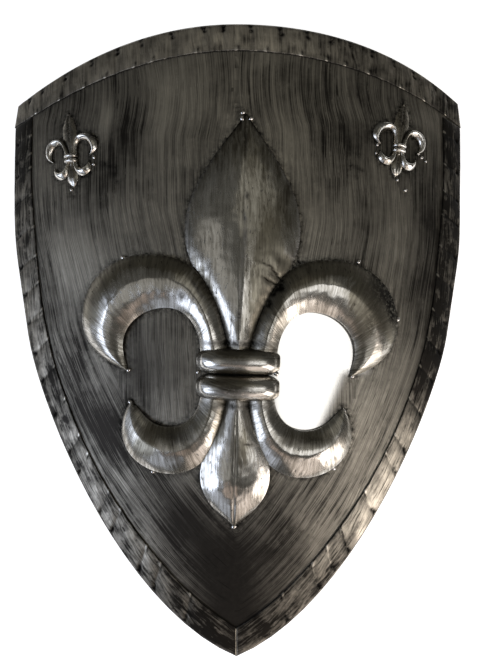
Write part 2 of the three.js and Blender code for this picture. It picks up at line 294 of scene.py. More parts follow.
# The same sheet folded into a hem and beaten: blotchy, sooty and painted with shade in the crimps, brushed
# along the strip.
rimSteel = brushedSteel("blackened hammered steel strip", dict(blackSteel, **{
    "strokes": {"fine": (2.6, 45, 0, 2, 0.32, 0.68), "crossed": (2.6, 30, 12, 2, 0.32, 0.68),
                "wide": (8, 90, 0, 4, 0.32, 0.68), "scratch": (2.4, 34, 2, 1.5, 0.58, 0.66)},
    "spots": {"patch": (20, 6, 0.32, 0.68), "sootAndShade": (4, 3, 0.2, 0.46)},
    "shares": {"fine": 0.5, "wide": 0.4, "patch": 0.5}, "level": 0.45, "wearShare": 0.5,
    "dark": "#2b2824", "light": "#cac2b3", "sootAndShade": "#0c0b09", "bump": 0.5,
}))
# Stamped sheet, blackened and then rubbed back: crests catch the light, hollows stay brown-black.
stampedSteel = brushedSteel("stamped steel rubbed bright on its crests", dict(rubbedSteel, **{
    "strokes": {"fine": (2.4, 34, 0, 3, 0.32, 0.68), "crossed": (2.4, 28, 12, 3, 0.32, 0.68),
                "wide": (9, 60, 0, 4, 0.32, 0.68), "scratch": (2.0, 9, -8, 1.5, 0.63, 0.7)},
    "spots": {"patch": (38, 7, 0.3, 0.7), "sootAndShade": (3.5, 3, 0.22, 0.5)},
    "shares": {"fine": 0.42, "wide": 0.26, "patch": 0.2}, "level": 0.5, "wearShare": 0.5,
    "dark": "#3f3a33", "light": "#a29c8c", "bareDark": "#9a958b", "bare": "#f2efea", "sootAndShade": "#12100c",
    "polishBreak": 0.7, "roughDark": 0.36, "roughLight": 0.26, "roughRubbed": 0.16, "bump": 0.2,
    "anisotropic": 0.2,
}))
# Small stampings buffed almost to a mirror, with black left in the hollows.
buffedSteel = brushedSteel("buffed stamped steel", dict(rubbedSteel, **{
    "strokes": {"fine": (1.8, 14, 0, 2, 0.32, 0.68), "crossed": (1.8, 14, 30, 2, 0.32, 0.68),
                "wide": (6, 24, 0, 3, 0.32, 0.68), "scratch": (1.5, 6, 0, 1.5, 0.62, 0.7)},
    "spots": {"patch": (12, 5, 0.32, 0.68), "sootAndShade": (2.5, 3, 0.3, 0.55)},
    "shares": {"fine": 0.4, "wide": 0.3, "patch": 0.5}, "level": 0.55, "wearShare": 0.5,
    "dark": "#6a6458", "light": "#b4ad9f", "bareDark": "#b5b0a6", "bare": "#f4f1ec", "sootAndShade": "#100e0b",
    "polishBreak": 0.5, "roughDark": 0.3, "roughLight": 0.2, "roughRubbed": 0.1, "bump": 0.12,
    "anisotropic": 0.0,
}))


# Solidified steel beads: round, bare and shiny, with a little heat tint in spots of about 1 mm.
def weldSteel():
    material, tree = newMaterial("bare weld bead steel")
    place = addNode(tree, "ShaderNodeTexCoord", {}).outputs["Object"]
    cloud = addNode(tree, "ShaderNodeTexNoise", {"Scale": 900, "Detail": 3}, {"Vector": place})
    tint = addNode(tree, "ShaderNodeMapRange", {1: 0.35, 2: 0.65}, {0: cloud})
    colour = addNode(tree, "ShaderNodeMix", {
        "data_type": "RGBA", 6: linear("#9d958c"), 7: linear("#efedea")}, {0: tint})
    rough = addNode(tree, "ShaderNodeMapRange", {1: 0.3, 2: 0.7, 3: 0.3, 4: 0.12}, {0: cloud})
    shader = addNode(tree, "ShaderNodeBsdfPrincipled", {"Metallic": 1.0},
                     {"Base Color": colour, "Roughness": rough})
    addNode(tree, "ShaderNodeOutputMaterial", {}, {"Surface": shader})
    return material


# Hot-rolled sheet left as it came, on the back: smooth blue-grey scale in clouds of about 60 mm, with rust
# bloom in spots of about 20 mm.
def millScale():
    material, tree = newMaterial("mill-scale steel sheet")
    place = addNode(tree, "ShaderNodeTexCoord", {}).outputs["Object"]
    cloud = addNode(tree, "ShaderNodeTexNoise", {
        "Scale": 16, "Detail": 7, "Roughness": 0.62}, {"Vector": place})
    bloom = addNode(tree, "ShaderNodeTexNoise", {
        "Scale": 45, "Detail": 8, "Roughness": 0.7}, {"Vector": place})
    scale = addNode(tree, "ShaderNodeMapRange", {1: 0.35, 2: 0.65}, {0: cloud})
    rust = addNode(tree, "ShaderNodeMapRange", {1: 0.56, 2: 0.7, 4: 0.6}, {0: bloom})
    colour = addNode(tree, "ShaderNodeMix", {
        "data_type": "RGBA", 6: linear("#3c3e41"), 7: linear("#6f6e6c")}, {0: scale})
    colour = addNode(tree, "ShaderNodeMix", {"data_type": "RGBA", 7: linear("#5a4534")}, {0: rust, 6: colour})
    rough = addNode(tree, "ShaderNodeMapRange", {1: 0.35, 2: 0.7, 3: 0.34, 4: 0.55}, {0: bloom})
    shader = addNode(tree, "ShaderNodeBsdfPrincipled", {"Metallic": 0.9},
                     {"Base Color": colour, "Roughness": rough})
    addNode(tree, "ShaderNodeOutputMaterial", {}, {"Surface": shader})
    return material


# Opal acrylic lit from below: a plain white ground without hard shadows.
def lightTable():
    material, tree = newMaterial("opal acrylic light table")
    place = addNode(tree, "ShaderNodeTexCoord", {}).outputs["Object"]
    cloud = addNode(tree, "ShaderNodeTexNoise", {"Scale": 3, "Detail": 2}, {"Vector": place})
    colour = addNode(tree, "ShaderNodeMix", {
        "data_type": "RGBA", 6: linear("#f2f1ef"), 7: linear("#f8f8f7")}, {0: cloud})
    shader = addNode(tree, "ShaderNodeBsdfPrincipled", {
        "Roughness": 0.8, "Emission Color": linear("#ffffff"), "Emission Strength": 0.85,
    }, {"Base Color": colour})
    addNode(tree, "ShaderNodeOutputMaterial", {}, {"Surface": shader})
    return material


print("steels mixed")


# Pieces

def finishPiece(name, bm, material, replaced=None, creaseAngle=35, wall=0.0, back=None):
    mesh = bpy.data.meshes.new(name)
    bm.to_mesh(mesh)
    bm.free()
    for polygon in mesh.polygons:
        polygon.use_smooth = True
    mesh.set_sharp_from_angle(angle=math.radians(creaseAngle))
    piece = bpy.data.objects.new(name, mesh)
    bpy.context.scene.collection.objects.link(piece)
    mesh.materials.append(material)
    if wall:
        solidify = piece.modifiers.new("thickness", "SOLIDIFY")
        solidify.thickness = wall * mm
        solidify.offset = -1
        if back:
            mesh.materials.append(back)
            solidify.material_offset = 1
    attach(piece, "root")
    if replaced:
        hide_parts(replaced)
    print("built", name, len(mesh.polygons), "faces")
    return piece


def writeLayers(bm, mapOf, finish):    # brush direction and finish, read while the sheet is flat
    grain = bm.loops.layers.uv.new("grain")
    for name in finish:
        bm.verts.layers.float.new(name)
    bm.verts.index_update()
    for name, valueOf in finish.items():
        layer = bm.verts.layers.float[name]
        for vert in bm.verts:
            vert[layer] = valueOf(vert)
    for face in bm.faces:
        middle = face.calc_center_median()
        for loop in face.loops:
            across, along = mapOf(loop.vert, middle)
            loop[grain].uv = (across / grainUnit, along / grainUnit)


def everything(bm):
    return bm.verts[:] + bm.edges[:] + bm.faces[:]


def rollUp(bm):
    for vert in bm.verts:
        vert.co = roll(vert.co)


# Outline

outline = {
    "tipHeading": 22, "restLow": (266, 360), "restHigh": (283, 445), "widestHeight": 530,
    "leftWidest": 290.5, "rightWidest": 288.5, "stripEnd": (288.3, 620),
    "leftCorner": (281.5, 647), "rightCorner": (283, 650), "crown": 711,
}


def sideEdge(widest, corner):
    low, high = outline["restLow"], outline["restHigh"]
    restHeading = math.degrees(math.atan2(high[1] - low[1], high[0] - low[0]))
    return [
        stop(0, 0, outline["tipHeading"], 0, 0.32), stop(*low, restHeading, 0.16, 0.3),
        stop(*high, restHeading, 0.3, 0.36), stop(widest, outline["widestHeight"], 90, 0.4, 0.3),
        stop(*outline["stripEnd"], 93), stop(*corner, 102),
    ]


rightStops = sideEdge(outline["rightWidest"], outline["rightCorner"])
leftStops = sideEdge(outline["leftWidest"], outline["leftCorner"])
rightEdge = smoothPath(rightStops)
leftEdge = mirrored(smoothPath(leftStops))
topEdge = smoothPath([
    stop(-outline["leftCorner"][0], outline["leftCorner"][1], 20.5, 0.34),
    stop(0, outline["crown"], 0, 0.35, 0.38), stop(*outline["rightCorner"], -25.7, 0.32),
], 40)
wholeOutline = rightEdge + topEdge[-2:0:-1] + leftEdge[:0:-1]


# Brush strokes: upright above and inside the curls, elsewhere turning to run beside the edges down to the tip

brush = {
    "eyes": (90, 322, 50, 72), "middle": 2,      # inside the curls: across, up, half width, half height
    "seamWander": 9.0, "seamLength": 26.0,       # where the strokes of the two sides meet
    "stretch": 1.1,
}
sideDistance = finderOf(smoothPath(rightStops, 200) + mirrored(smoothPath(leftStops, 200)))


def brushMap(vert, middle):
    across, up = vert.co.x, vert.co.y
    eyeAcross, eyeUp, wide, tall = brush["eyes"]
    if math.hypot((abs(middle.x - brush["middle"]) - eyeAcross) / wide, (middle.y - eyeUp) / tall) < 1:
        return across, up
    seam = brush["seamWander"] * noise.noise(Vector((middle.y / brush["seamLength"], 0, 8)))
    side = 1 if middle.x + seam > 0 else -1
    return side * (outline["rightWidest"] - sideDistance(vert.co)), up * brush["stretch"]


# Fleur-de-lis shapes, drawn about the collar: x across, y up the axis, millimetres before scaling

def fleurPaths(f):    # the leaf and tail have one side each, the curl and foot an outer and an inner one
    tipX, tipY = f["curlTip"]
    endX, endY = f["footTip"]
    return {
        "leaf": ([stop(1.2, f["leafTip"], -57, 0, 0.3), stop(*f["leafWide"], -90),
                  stop(*f["leafWaist"], -99, 0.5)],),
        "tail": ([stop(1.2, f["tailTip"], 38, 0, 0.36), stop(*f["tailWide"], 90),
                  stop(*f["tailWaist"], 95, 0.4)],),
        "curl": (
            [stop(*f["curlRoot"], 76, 0, 0.45), stop(*f["curlTop"], 0, 0.45, 0.42),
             stop(*f["curlSide"], -90, 0.4), stop(tipX, tipY, 198)],
            [stop(*f["curlInnerRoot"], 90, 0, 0.42), stop(*f["eyeTop"], 0, 0.38),
             stop(*f["eyeSide"], -90, 0.39), stop(tipX - 1.4, tipY + 1, -105)]),
        "foot": (
            [stop(*f["footRoot"], -86, 0, 0.5), stop(*f["footBottom"], 0, 0.38),
             stop(*f["footSide"], 90, 0.4), stop(endX, endY, 125)],
            [stop(*f["footInnerRoot"], -90, 0, 0.4), stop(*f["footEye"], 0, 0.42),
             stop(endX - 1.4, endY - 1.6, 40)]),
    }


fleur = {
    "leafTip": 291, "leafWide": (65, 160), "leafWaist": (12, 25), "leafCrest": 15,
    "curlRoot": (12, 25), "curlInnerRoot": (43, 20), "curlTop": (104, 131), "curlSide": (186, 58),
    "curlTip": (129, -2), "eyeTop": (82, 71), "eyeSide": (133.5, 26), "curlCrest": 17.5, "curlRootCrest": 11,
    "footRoot": (12, -27), "footInnerRoot": (41, -22), "footBottom": (76, -115.5), "footSide": (132.5, -66),
    "footTip": (122, -36), "footEye": (78, -63), "footCrest": 15.5,
    "tailTip": -171.5, "tailWide": (38.6, -115), "tailWaist": (11, -25), "tailCrest": 15,
    "collarHalf": 46.5, "collarTop": 29, "collarGroove": -1.5, "collarBottom": -32, "collarCrest": 21,
    "eye": (88, -2), "cell": 2.3, "across": 36, "wall": 1.2, "groove": 0.5, "waviness": 0.4, "scratches": 0.6,
    "tipHeight": 2, "endHeight": 3,      # at the tips of the leaf and tail, and of the curls and feet
    # bare metal all over, more on crests and less in hollows; black in the hollows, at the foot of the walls
    # and along the upper outline, partly black the rag missed and partly painted shade
    "rubbed": 0.3, "rubbedCrest": 0.5, "rubbedHollow": 2.0,
    "hollowShade": 2.4, "wallShade": 0.9, "outlineShade": 0.8, "outlineShadeWidth": 3.4,
    # hammer rays, pits down the ridge, burnt patches, and painted shade on and beside the collar's rolls,
    # about the collar
    "dents": [(37, 112, 9, 2.2, 38, -1.1), (30, 104, 8, 2.0, 60, -0.9), (44, 96, 4.5, 4.5, 0, -1.2),
              (50, 128, 10, 6, 40, -0.7), (60, 143, 12, 6, 20, -0.6), (34, 128, 9, 5, 30, 0.5),
              (33, 80, 4, 3, 0, -0.7), (-40, 118, 8, 4, -40, -0.5), (-58, 140, 12, 6, -20, 0.5)],
    "sootAndShade": [(38, 113, 10, 1.5, 40, 1.0), (31, 104, 9, 1.4, 62, 1.0), (45, 96, 5.5, 4.5, 0, 1.1),
             (26, 122, 8, 1.0, 70, 0.8), (33, 77, 4, 3, 0, 0.9), (37, 90, 3, 2, 0, 0.8),
             (31, 64, 3, 2, 0, 0.7), (4, 196, 4, 2, 0, 0.9), (2, 172, 6, 1.6, 0, 0.8),
             (3, 150, 14, 2.0, 0, 0.8), (1, 128, 12, 1.2, 0, 0.6), (-1, 96, 16, 1.2, 0, 0.6),
             (-1, 64, 5, 2.4, 0, 1.0), (0, 33, 3, 44, 0, 0.9), (0, 15, 8, 20, 0, 0.55),
             (-4, -18, 8, 22, 0, 0.65), (0, -36, 4, 40, 0, 0.7), (-64, 84, 7, 6, 60, 0.8),
             (-47, 92, 16, 2, 32, 0.9), (56, 134, 8, 2, 20, 0.6), (160, 98, 30, 16, 40, 0.9),
             (176, 70, 22, 9, 8, 0.8), (146, 60, 26, 9, 14, 0.6), (0, 262, 26, 4, 0, 0.6),
             (-30, 225, 40, 12, -30, 0.35), (-118, -42, 10, 6, 0, 0.8), (-70, -72, 6, 30, 0, 0.5),
             (84, -72, 6, 30, 0, 0.6), (30, -92, 3, 1.2, -60, 0.9), (16, -78, 9, 1.2, 80, 1.0),
             (31, -98, 12, 1.0, 25, 0.9), (-6, -60, 30, 3, -4, 0.5), (14, -48, 16, 4, 8, 0.6)],
    # patches that take bare metal away (add it where negative), darkening those faces, and straw-brown heat
    # tints
    "black": [(-98, 121, 9, 40, 0, 0.7), (-150, 100, 12, 26, 38, 0.7), (-38, 92, 20, 7, 30, 0.5),
              (-66, 110, 26, 9, 65, 0.4), (98, 121, 9, 40, 0, 0.8), (150, 100, 14, 28, -38, 0.8),
              (36, 86, 20, 7, -34, 0.8), (66, 107, 26, 9, -70, 0.6), (26, 88, 44, 20, -8, 0.65),
              (30, 148, 48, 22, 0, 0.55), (-22, 160, 60, 18, 0, -0.2), (0, 240, 34, 40, 0, 0.25),
              (-170, 74, 26, 14, 16, 0.9), (172, 72, 36, 15, 10, 0.9), (134, 84, 12, 24, -40, 0.8),
              (-82, -70, 9, 34, 0, 0.5), (84, -70, 9, 34, 0, 0.45), (140, 62, 44, 16, 14, 0.5),
              (-100, -86, 10, 15, 0, 0.9), (-38, -53, 20, 8, -30, 0.5), (8, -80, 26, 8, 0, 0.6),
              (-18, -62, 20, 8, 0, 0.4), (-6, -17, 14, 22, 0, 0.4), (-4, 21, 7, 30, 0, 0.9),
              (-4, -9, 6, 28, 0, 0.9), (14, -122, 20, 10, 0, -0.3)],
    "heat": [(-134, 60, 16, 10, -15, 0.8), (92, 98, 7, 34, 4, 0.9), (-50, -74, 14, 6, -25, 0.6),
             (94, -100, 6, 16, 8, 0.6), (27, 14, 7, 8, 0, 0.5), (27, -18, 7, 8, 0, 0.5),
             (12, -130, 22, 8, 10, 0.4)],
}
# Thinner limbs for their size, a taller relief and a coarser mesh, because it is drawn at a fifth of the size
smallFleur = dict(fleur, **{
    "curlTop": (100, 142), "eyeTop": (82, 98), "eyeSide": (142, 30), "leafWide": (52, 160),
    "leafCrest": 15, "curlCrest": 36, "curlRootCrest": 22, "footCrest": 34, "tailCrest": 22,
    "collarCrest": 42, "cell": 4.2, "across": 18, "wall": 4.0, "groove": 4.0, "waviness": 0.8, "endHeight": 8,
    "dents": [], "heat": [],
    "sootAndShade": [(0, 170, 120, 45, 0, 0.85), (-55, 240, 60, 40, -20, 0.5), (0, -80, 40, 26, 0, 0.7),
             (160, 110, 45, 26, 40, 0.9), (-150, 110, 36, 25, -40, 0.6), (-100, -45, 18, 26, 0, 0.8)],
    "black": [(0, 170, 120, 50, 0, 0.8), (0, -80, 40, 26, 0, 0.5)],
})
places = {
    "large": {"across": 2, "up": 318.5, "lean": -1.8, "scale": 1.0},
    "smallLeft": {"across": -199.3, "up": 569.5, "lean": 5, "scale": 0.195},
    "smallRight": {"across": 194, "up": 581, "lean": -8, "scale": 0.195},
}


def leafProfile(q):    # a ridge down the middle, rounding over to steep edges
    x = abs(q)
    return 1 - 0.46 * x - 0.36 * x ** 3.4


def flank(x, slope, power):      # from the rounded crest at 0 to the edge at 1, where a low wall is left
    x = math.hypot(x, 0.1) - 0.1
    return 1 - slope * x - (0.82 - slope) * x ** power


def curlProfile(q):    # outer flank, then the one towards the eye
    return flank(-q, 0.36, 2.2) if q < 0 else flank(q, 0.42, 2.6)


def footProfile(q):
    return flank(abs(q), 0.4, 2.4)


def tailProfile(q):
    return flank(abs(q), 0.3, 2.2)


def rollProfile(q):
    return max(0.0, 1 - abs(q) ** 2.2) ** 0.5


def swell(start, middle, end, peak):
    def rise(share):
        if share < peak:
            return mixed(start, middle, math.sin(math.pi / 2 * share / peak))
        return mixed(end, middle, math.cos(math.pi / 2 * (share - peak) / (1 - peak)))
    return rise


# A raised strip between two rails, closed below. crestShares says where across it the crest runs, at the root
# and at the end; rise gives the crest's height along it, and profile the height across it.
def limb(outer, inner, crestShares, rise, profile, cell, across, depth=4.0):
    rootShare, endShare = crestShares
    along = max(8, int(max(outer.length, inner.length) / cell))
    bm = bmesh.new()
    bmesh.ops.create_grid(bm, x_segments=along, y_segments=across, size=0.5)
    for vert in bm.verts:
        share, q = vert.co.x + 0.5, vert.co.y * 2
        q = math.copysign(mixed(abs(q), q * q, 0.5), q)     # closer together along the crest
        a, b = outer.at(share), inner.at(share)
        crestShare = mixed(rootShare, endShare, ease(0.35, 0.8, share))
        place = a.lerp(b, crestShare * (1 + q) if q < 0 else crestShare + (1 - crestShare) * q)
        vert.co = Vector((place.x, place.y, rise(share) * profile(q)))
    border = [edge for edge in bm.edges if edge.is_boundary]
    skirt = bmesh.ops.extrude_edge_only(bm, edges=border)["geom"]
    for vert in (g for g in skirt if isinstance(g, bmesh.types.BMVert)):
        vert.co.z = -depth
    bmesh.ops.holes_fill(bm, edges=[edge for edge in bm.edges if edge.is_boundary])
    bmesh.ops.recalc_face_normals(bm, faces=bm.faces)
    return bm


def collarRoll(low, high, f):    # rounded at its ends, and lower there
    middle, half = (low + high) / 2, (high - low) / 2
    lower, upper = [], []
    steps = 40
    for k in range(steps + 1):
        x = -math.cos(math.pi * k / steps)
        pinch = 1 - 0.5 * abs(x) ** 7
        lower.append(Vector((x * f["collarHalf"], middle - half * pinch, 0)))
        upper.append(Vector((x * f["collarHalf"], middle + half * pinch, 0)))

    def rise(share):
        x = abs(Rail(lower).at(share).x) / f["collarHalf"]
        return f["collarCrest"] * math.sqrt(max(0.05, 1 - min(x, 1) ** 2.5))

    across = max(10, f["across"] // 2 + 2)
    return limb(Rail(lower), Rail(upper), (0.5, 0.5), rise, rollProfile, f["cell"], across, depth=6.0)


def joined(solids):    # one closed solid out of overlapping ones
    objects = []
    for bm in solids:
        mesh = bpy.data.meshes.new("limb")
        bm.to_mesh(mesh)
        bm.free()
        objects.append(bpy.data.objects.new("limb", mesh))
        bpy.context.scene.collection.objects.link(objects[-1])
    whole = objects[0]
    for other in objects[1:]:
        union = whole.modifiers.new("union", "BOOLEAN")
        union.operation, union.solver, union.object = "UNION", "MANIFOLD", other
    bpy.context.view_layer.update()
    bm = bmesh.new()
    bm.from_object(whole, bpy.context.evaluated_depsgraph_get())
    for obj in objects:
        mesh = obj.data
        bpy.data.objects.remove(obj)
        bpy.data.meshes.remove(mesh)
    return bm


def fleurSolids(f):
    paths = fleurPaths(f)
    solids = []
    for name, endShare, peak, profile in (("leaf", 0.75, 0.5, leafProfile), ("tail", 0.8, 0.42, tailProfile)):
        side, crest = smoothPath(paths[name][0]), f[name + "Crest"]
        rise = swell(f["tipHeight"], crest, crest * endShare, peak)
        other = Rail(mirrored(side))
        solids.append(limb(other, Rail(side), (0.5, 0.5), rise, profile, f["cell"], f["across"]))
    for name, peak, profile, crestShares in (("curl", 0.6, curlProfile, (0.48, 0.58)),
                                             ("foot", 0.55, footProfile, (0.5, 0.58))):
        outer, inner = (smoothPath(stops) for stops in paths[name])
        rise = swell(f["curlRootCrest"], f[name + "Crest"], f["endHeight"], peak)
        solids.append(limb(Rail(outer), Rail(inner), crestShares, rise, profile, f["cell"], f["across"]))
        solids.append(limb(Rail(mirrored(outer)), Rail(mirrored(inner)), crestShares, rise, profile,
                           f["cell"], f["across"]))
    solids.append(collarRoll(f["collarBottom"], f["collarGroove"] + 1, f))
    solids.append(collarRoll(f["collarGroove"] - 1, f["collarTop"], f))
    return solids


def setPlace(point, place):    # from the fleur's own drawing to the sheet
    lean, scale = math.radians(place["lean"]), place["scale"]
    x, y = point[0] * scale, point[1] * scale
    return Vector((place["across"] + x * math.cos(lean) - y * math.sin(lean),
                   place["up"] + x * math.sin(lean) + y * math.cos(lean), point[2] * scale))


def fleurOutlinePoints(f, place):
    points = []
    for stopsList in fleurPaths(f).values():
        for stops in stopsList:
            path = smoothPath(stops)
            points += path + mirrored(path)
    return [setPlace(p, place) for p in points]


def buildFleur(name, f, place, material, replaced):
    bm = joined(fleurSolids(f))
    bmesh.ops.bisect_plane(bm, geom=everything(bm), plane_co=(0, 0, 0), plane_no=(0, 0, 1), clear_inner=True)
    bmesh.ops.remove_doubles(bm, verts=bm.verts, dist=0.01)
    full = f["curlCrest"]
    for vert in bm.verts:
        p = vert.co
        if p.z > 0.15 * full:
            ripple = noise.noise(Vector((p.x, p.y * 0.6, 2)) / 16)
            ripple += 0.5 * noise.noise(Vector((p.x, p.y, 7)) / 7)
            onLeaf = p.y > f["collarTop"] + 8 or p.y < f["collarBottom"] - 8
            groove = 0
            if onLeaf and abs(p.x) < 20:
                groove = f["groove"] * math.exp(-(p.x / (1.6 * f["groove"] + 0.6)) ** 2)
            p.z += f["waviness"] * ripple - groove + smudge(p, f["dents"])
    hollow = []
    for vert in bm.verts:
        lifts = [(e.other_vert(vert).co.z - vert.co.z) / max(e.calc_length(), 0.5) for e in vert.link_edges]
        hollow.append(sum(lifts) / len(lifts) if lifts else 0)

    paths = fleurPaths(f)
    upperEdge = [p for key in ("leaf", "curl") for p in smoothPath(paths[key][0]) if p.y > f["collarTop"]]
    upperDistance = finderOf(upperEdge + mirrored(upperEdge))
    leafSide, tailSide = smoothPath(paths["leaf"][0]), smoothPath(paths["tail"][0])

    def polishOf(vert):
        bare = f["rubbed"] + vert.co.z / full * f["rubbedCrest"] - hollow[vert.index] * f["rubbedHollow"]
        return max(0, min(1, bare) - smudge(vert.co, f["black"]))

    # painted shade in the hollows, at the foot of the walls and along the upper outline, plus the smudges
    def sootAndShadeShareOf(vert):
        deep = max(0, hollow[vert.index] * f["hollowShade"])
        deep += f["wallShade"] * (1 - ease(0, 0.16 * full, vert.co.z))
        beside = f["outlineShade"] * math.exp(-(upperDistance(vert.co) / f["outlineShadeWidth"]) ** 2)
        return min(1, deep + smudge(vert.co, f["sootAndShade"]) + beside)

    def wearOf(vert):
        return 0.5 * noise.noise(Vector((vert.co.x, vert.co.y * 0.5, 1)) / 30)

    def strokesOf(vert, middle):    # up the leaf and tail, along the collar, outwards from the curls' eyes
        if f["collarBottom"] < middle.y < f["collarTop"] and abs(middle.x) < f["collarHalf"]:
            return vert.co.y, vert.co.x
        side = leafSide if middle.y > 0 else tailSide
        if abs(middle.x) < min(side, key=lambda p: abs(p.y - middle.y)).x:
            return vert.co.x, vert.co.y
        eye = Vector((f["eye"][0] if middle.x > 0 else -f["eye"][0], f["eye"][1]))
        away, facingOut = vert.co.xy - eye, middle.xy - eye
        turned = facingOut.cross(away) / max(facingOut.length_squared, 1)
        return (math.atan2(facingOut.y, facingOut.x) + turned) * 90, away.length

    writeLayers(bm, strokesOf, {
        "polish": polishOf, "sootAndShadeShare": sootAndShadeShareOf, "wear": wearOf, "score": lambda vert: f["scratches"],
        "heat": lambda vert: min(1, smudge(vert.co, f["heat"]))})
    for vert in bm.verts:
        vert.co = setPlace(vert.co, place)
    rollUp(bm)
    return finishPiece(name, bm, material, replaced, 32, f["wall"] * place["scale"])


buildFleur("largeFleur", fleur, places["large"], stampedSteel, "fleur_large")
for side, node in (("Left", "fleur_small_left"), ("Right", "fleur_small_right")):
    buildFleur("smallFleur" + side, smallFleur, places["small" + side], buffedSteel, node)


# Face plate: the outline cut into small cells, gently uneven, then rolled

plate = {
    "cell": 4.4, "inset": 1.3, "wall": 1.2, "cutsAcross": (-288, 288), "cutsUp": (6, 709),
    "wave": 0.45, "waveLength": 120.0, "ripple": 0.12, "rippleLength": 38.0,
    "patchy": 0.45, "patchLength": 45.0,
    # painted shade in the corner beside the fleurs, its haze further out, and painted shade with soot beside
    # the hems: amount and width
    "corner": (0.85, 3.6), "haze": (0.35, 12), "hem": (0.25, 1.5), "hemAt": 30,
    # lighter patches and darker ones
    "wear": [(-85, 625, 60, 12, -18, 0.6), (-105, 560, 110, 22, -24, 0.4), (-152, 612, 20, 8, -8, 1.3),
             (-205, 470, 60, 20, 0, 0.3), (95, 480, 90, 22, -32, 0.4), (20, 650, 60, 18, -14, 0.3),
             (60, 560, 70, 20, -10, 0.2), (135, 620, 70, 45, 0, -0.3), (-235, 640, 50, 30, 0, -0.3),
             (240, 430, 160, 30, 0, -0.7), (-5, 95, 70, 52, 0, -0.9), (-75, 150, 60, 22, 38, -0.6),
             (-240, 400, 190, 38, 6, -0.5), (-130, 210, 120, 55, 36, -0.3), (50, 150, 70, 40, -38, -0.5),
             (-145, 243, 50, 30, 30, -0.9), (-190, 330, 90, 30, 16, -0.3), (125, 545, 60, 34, 0, -0.65),
             (91, 610, 40, 40, 0, -0.25), (-145, 610, 80, 40, 0, -0.6), (-150, 490, 50, 50, 0, -0.25),
             (-100, 198, 34, 22, 35, 0.3)],
    "dull": [(-92, 322, 84, 62, 0, 0.5), (-5, 95, 84, 58, 0, 0.85), (0, 15, 44, 60, 0, 0.85),
             (-60, 150, 60, 24, 38, 0.6), (-130, 345, 50, 30, 0, 0.25), (240, 430, 150, 30, 0, 0.3),
             (-110, 320, 40, 90, 0, 0.15)],
    # hammer marks, burns and scuffs, and a darker patch near the tip
    "sootAndShade": [(-5, 90, 60, 45, 0, 0.35), (-160, 562, 3.6, 1.8, 60, 0.8), (-154, 560, 4.5, 2, 75, 0.9),
             (-145.5, 556, 5.5, 2.2, 88, 1), (-143, 546.5, 5, 2.2, 96, 0.9), (-138.5, 537.5, 5, 2.2, 92, 1),
             (-147, 536, 4, 2, 100, 0.5), (133, 589, 7, 2, 96, 0.7), (133, 577, 5, 2.2, 40, 0.8),
             (143, 569, 7, 2.2, 78, 0.8), (134, 556, 7, 2.4, 84, 0.9), (147, 551, 6, 2.2, 70, 0.8),
             (140, 543, 5, 2, 100, 0.5), (-199, 527, 4, 8, 0, 0.8), (203, 531, 4, 6, 0, 0.6),
             (2, 616, 7, 7, 0, 0.5), (-74, 442, 5, 9, 0, 0.8), (66, 444, 6, 10, 0, 0.7),
             (-128, 285, 4, 4, 0, 0.5), (128, 272, 4, 8, 0, 0.5), (0, 144, 4, 6, 0, 0.5)],
    "dents": [(-150, 550, 7, 4, 80, -0.4), (-141, 538, 7, 4, 90, -0.4), (136, 572, 8, 4, 75, -0.4),
              (138, 552, 8, 4, 80, -0.4), (-60, 455, 14, 6, 60, 0.5), (70, 452, 12, 6, -50, 0.5)],
    # right-hand curls' patch, worn smooth and painted near white as a highlight: across, up, half height,
    # half width; where it fades at the gap
    "wornGlare": (92, 322, 84, 62), "fadeFrom": 113, "fadeSlope": 0.44, "fadeWidth": 17, "fadeUp": (312, 324),
}
fleurDistance = finderOf(sum((fleurOutlinePoints(f, places[key]) for f, key in
                              ((fleur, "large"), (smallFleur, "smallLeft"), (smallFleur, "smallRight"))), []))
edgeDistance = finderOf(wholeOutline)


def wornGlareAt(p):
    across, up, tall, wide = plate["wornGlare"]
    oval = 1 - ease(0.9, 1.1, math.hypot((p.x - across) / wide, (p.y - up) / tall))
    line = plate["fadeFrom"] + plate["fadeSlope"] * (p.y - plate["fadeUp"][0])
    return oval * (1 - ease(line, line + plate["fadeWidth"], p.x) * (1 - ease(*plate["fadeUp"], p.y)))


